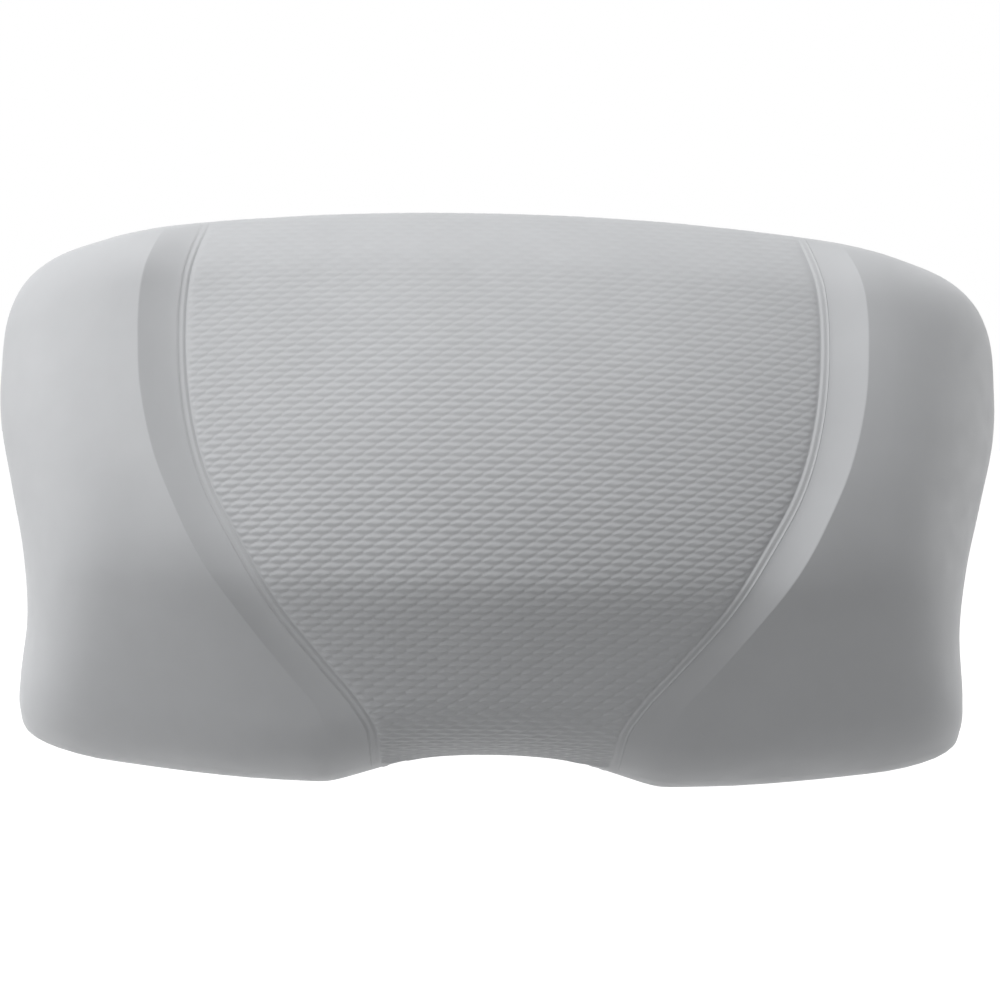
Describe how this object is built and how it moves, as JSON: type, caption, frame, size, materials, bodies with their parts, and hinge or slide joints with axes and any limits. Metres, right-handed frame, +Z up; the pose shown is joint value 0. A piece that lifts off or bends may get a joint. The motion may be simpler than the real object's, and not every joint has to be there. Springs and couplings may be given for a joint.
{
  "type": "bath pillow",
  "caption": "Moulded foam bath pillow with a textured centre panel, hollow side bands and raised wings, hung on the tub wall by suction cups in keyhole slots.",
  "frame": {"origin": "middle of the flat back face that lies against the tub wall", "axes": "+X to the right of someone facing the pillow, +Y into the wall, +Z up"},
  "size_m": [0.3004, 0.0658, 0.172],
  "materials": {
    "textured_skin": "satin, embossed",
    "smooth_skin": "satin",
    "foam": "open foam",
    "plate": "moulded",
    "cup": "clear soft vinyl",
    "stud": "stainless",
    "nut": "moulded nylon"
  },
  "bodies": {
    "pillow": {"centre_skin": "textured_skin", "left_wing_skin": "smooth_skin", "right_wing_skin": "smooth_skin", "back_skin": "smooth_skin", "foam_core": "foam", "mounting_plate": "plate"},
    "upper_left_cup": {"upper_left_suction_cup": "cup", "upper_left_cup_stud": "stud", "upper_left_button_nut": "nut"},
    "upper_right_cup": {"upper_right_suction_cup": "cup", "upper_right_cup_stud": "stud", "upper_right_button_nut": "nut"},
    "lower_left_cup": {"lower_left_suction_cup": "cup", "lower_left_cup_stud": "stud", "lower_left_button_nut": "nut"},
    "lower_right_cup": {"lower_right_suction_cup": "cup", "lower_right_cup_stud": "stud", "lower_right_button_nut": "nut"}
  },
  "joints": [
    {"name": "upper_left_cup_slide", "type": "slide", "parent": "pillow", "child": "upper_left_cup", "axis": [0, 0, -1], "range_m": [0, 0.01]},
    {"name": "upper_right_cup_slide", "type": "slide", "parent": "pillow", "child": "upper_right_cup", "axis": [0, 0, -1], "range_m": [0, 0.01]},
    {"name": "lower_left_cup_slide", "type": "slide", "parent": "pillow", "child": "lower_left_cup", "axis": [0, 0, -1], "range_m": [0, 0.01]},
    {"name": "lower_right_cup_slide", "type": "slide", "parent": "pillow", "child": "lower_right_cup", "axis": [0, 0, -1], "range_m": [0, 0.01]}
  ]
}
